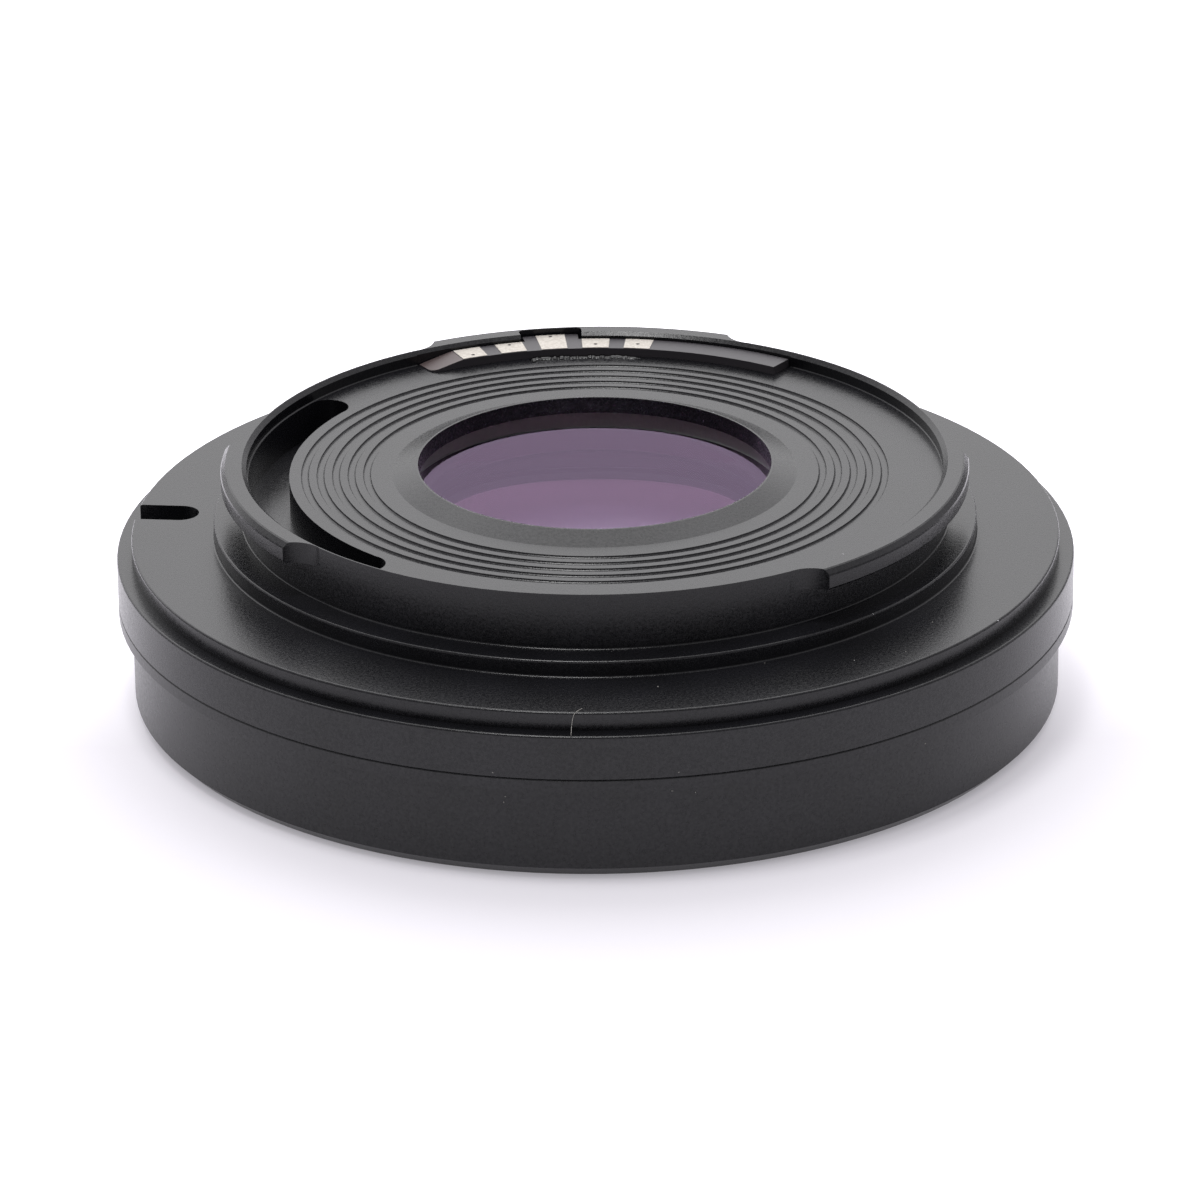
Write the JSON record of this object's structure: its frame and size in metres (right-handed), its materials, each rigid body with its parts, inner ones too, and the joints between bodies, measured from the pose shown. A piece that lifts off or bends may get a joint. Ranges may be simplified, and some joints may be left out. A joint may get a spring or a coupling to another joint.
{
  "type": "camera lens mount adapter",
  "caption": "Flat round lens-to-camera adapter with bayonet lugs above, a claw bayonet below, corrective glass, a contact board and a spring-loaded lens lock.",
  "frame": {"origin": "centre of the lens side's face, which is also the surface that the adapter stands on", "axes": "+Z along the optical axis towards the camera, -Y towards the picture's front, +X to its right"},
  "size_m": [0.0638, 0.0638, 0.0163],
  "materials": {
    "anodised_body": "black anodised, fine satin blast",
    "anodised_barrel": "black anodised, satin turned",
    "mount_plate": "black anodised, satin",
    "matt_black": "matt black anodised",
    "board": "black solder mask, satin",
    "pad_metal": "pale plated contact",
    "glue": "glossy black adhesive",
    "coated_glass": "clear glass with a purple anti-reflection coating",
    "spring_steel": "bright spring steel",
    "black_screw": "blackened steel"
  },
  "bodies": {
    "adapter": {"camera_mount": "anodised_body", "chip_board": "board", "contact_pad_1": "pad_metal", "contact_pad_2": "pad_metal", "contact_pad_3": "pad_metal", "contact_pad_4": "pad_metal", "contact_pad_5": "pad_metal", "chip_adhesive": "glue", "rear_element": "coated_glass", "element_spacer": "matt_black", "front_element": "coated_glass", "cell_retaining_ring": "matt_black", "lens_cell": "matt_black", "lens_barrel": "anodised_barrel", "lens_mount_plate": "mount_plate", "bayonet_spring_1": "spring_steel", "bayonet_spring_2": "spring_steel", "bayonet_spring_3": "spring_steel", "plate_screws": "black_screw", "body_screws": "black_screw", "lock_spring": "spring_steel"},
    "lens_lock": {"lock_pin": "spring_steel", "release_tab": "anodised_barrel"}
  },
  "joints": [
    {"name": "lens_lock_slide", "type": "slide", "parent": "adapter", "child": "lens_lock", "axis": [0, 0, 1], "range_m": [-0.0012, 0.0003], "stiffness_N_per_m": 90, "springref_m": -0.0022, "deforming": ["lock_spring"]}
  ]
}
